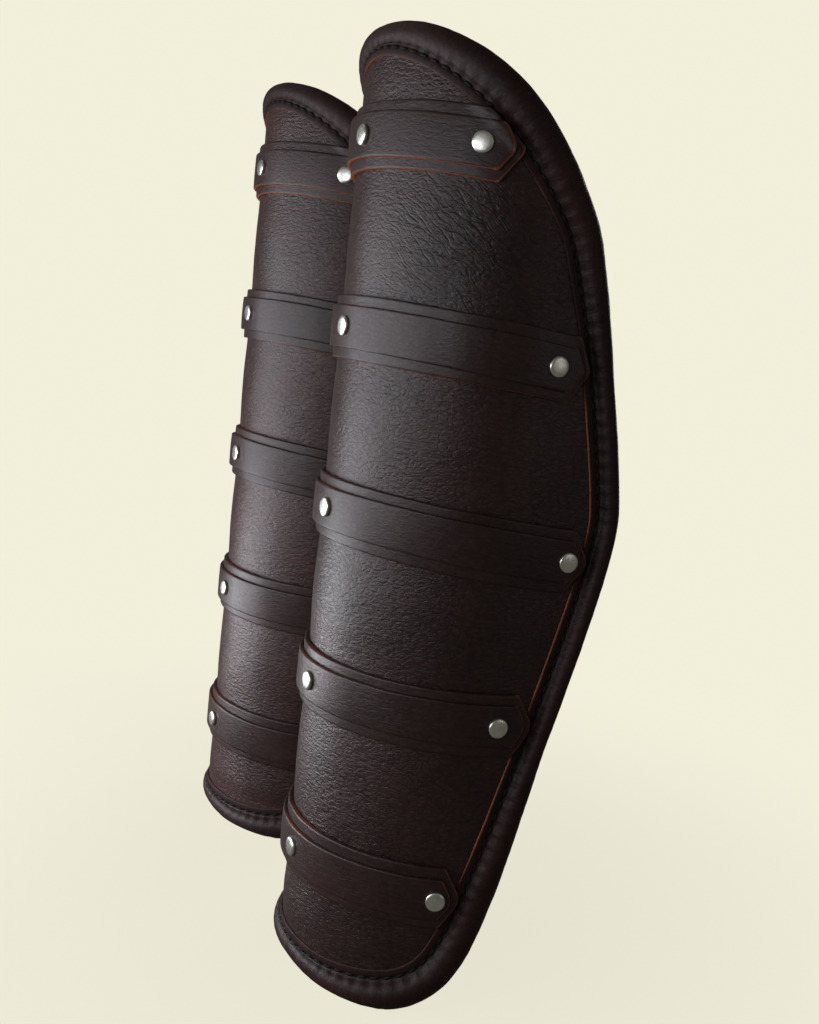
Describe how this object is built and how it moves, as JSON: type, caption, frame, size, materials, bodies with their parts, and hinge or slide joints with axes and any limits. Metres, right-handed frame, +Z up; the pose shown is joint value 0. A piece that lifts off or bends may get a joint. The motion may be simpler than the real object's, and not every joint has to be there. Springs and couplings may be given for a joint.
{
  "type": "leather greaves",
  "caption": "Free-standing pair of leather greaves: bent shells with rolled, stitched edges, riveted double bands across the shins and buckled calf straps.",
  "frame": {"origin": "on the floor, under the middle of the pair's bounding box", "axes": "+Z up; the shins face -Y; the wearer's left greave is at +X and stands nearer to -Y"},
  "size_m": [0.3182, 0.1354, 0.4185],
  "materials": {
    "shell_leather": "pebbled, waxed, dark chocolate",
    "lining_leather": "suede, warm brown",
    "binding_leather": "smooth, waxed, nearly black",
    "band_leather": "waxed, dark chocolate with raw red-brown edges",
    "strap_leather": "waxed, dark brown",
    "nickel": "nickel plated, lightly worn",
    "buckle_steel": "nickel plated steel"
  },
  "bodies": {
    "left_greave": {"left_shell": "shell_leather", "left_lining": "lining_leather", "left_binding": "binding_leather", "left_under_band_1": "band_leather", "left_under_band_2": "band_leather", "left_under_band_3": "band_leather", "left_under_band_4": "band_leather", "left_under_band_5": "band_leather", "left_top_band_1": "band_leather", "left_top_band_2": "band_leather", "left_top_band_3": "band_leather", "left_top_band_4": "band_leather", "left_top_band_5": "band_leather", "left_rivets": "nickel", "left_low_billet": "strap_leather", "left_low_buckle_strap": "strap_leather", "left_low_keeper": "strap_leather", "left_high_billet": "strap_leather", "left_high_buckle_strap": "strap_leather", "left_high_keeper": "strap_leather"},
    "left_low_buckle": {"left_low_frame": "buckle_steel"},
    "left_low_tongue": {"left_low_prong": "buckle_steel"},
    "left_high_buckle": {"left_high_frame": "buckle_steel"},
    "left_high_tongue": {"left_high_prong": "buckle_steel"},
    "right_greave": {"right_shell": "shell_leather", "right_lining": "lining_leather", "right_binding": "binding_leather", "right_under_band_1": "band_leather", "right_under_band_2": "band_leather", "right_under_band_3": "band_leather", "right_under_band_4": "band_leather", "right_under_band_5": "band_leather", "right_top_band_1": "band_leather", "right_top_band_2": "band_leather", "right_top_band_3": "band_leather", "right_top_band_4": "band_leather", "right_top_band_5": "band_leather", "right_rivets": "nickel", "right_low_billet": "strap_leather", "right_low_buckle_strap": "strap_leather", "right_low_keeper": "strap_leather", "right_high_billet": "strap_leather", "right_high_buckle_strap": "strap_leather", "right_high_keeper": "strap_leather"},
    "right_low_buckle": {"right_low_frame": "buckle_steel"},
    "right_low_tongue": {"right_low_prong": "buckle_steel"},
    "right_high_buckle": {"right_high_frame": "buckle_steel"},
    "right_high_tongue": {"right_high_prong": "buckle_steel"}
  },
  "joints": [
    {"name": "right_greave_lift", "type": "slide", "parent": "left_greave", "child": "right_greave", "axis": [0, 0, 1], "range_m": [0, 0.2]},
    {"name": "left_low_buckle_hinge", "type": "hinge", "parent": "left_greave", "child": "left_low_buckle", "pos_m": [0.0952, 0.03817, 0.13276], "axis": [0, 0, -1], "range_deg": [0, 10]},
    {"name": "left_low_prong_hinge", "type": "hinge", "parent": "left_low_buckle", "child": "left_low_tongue", "pos_m": [0.0952, 0.03817, 0.13276], "axis": [0, 0, -1], "range_deg": [0, 36]},
    {"name": "left_high_buckle_hinge", "type": "hinge", "parent": "left_greave", "child": "left_high_buckle", "pos_m": [0.0952, 0.03817, 0.28669], "axis": [0, 0, -1], "range_deg": [0, 10]},
    {"name": "left_high_prong_hinge", "type": "hinge", "parent": "left_high_buckle", "child": "left_high_tongue", "pos_m": [0.0952, 0.03817, 0.28669], "axis": [0, 0, -1], "range_deg": [0, 36]},
    {"name": "right_low_buckle_hinge", "type": "hinge", "parent": "right_greave", "child": "right_low_buckle", "pos_m": [-0.0952, 0.05567, 0.13276], "axis": [0, 0, 1], "range_deg": [0, 10]},
    {"name": "right_low_prong_hinge", "type": "hinge", "parent": "right_low_buckle", "child": "right_low_tongue", "pos_m": [-0.0952, 0.05567, 0.13276], "axis": [0, 0, 1], "range_deg": [0, 36]},
    {"name": "right_high_buckle_hinge", "type": "hinge", "parent": "right_greave", "child": "right_high_buckle", "pos_m": [-0.0952, 0.05567, 0.28669], "axis": [0, 0, 1], "range_deg": [0, 10]},
    {"name": "right_high_prong_hinge", "type": "hinge", "parent": "right_high_buckle", "child": "right_high_tongue", "pos_m": [-0.0952, 0.05567, 0.28669], "axis": [0, 0, 1], "range_deg": [0, 36]}
  ]
}
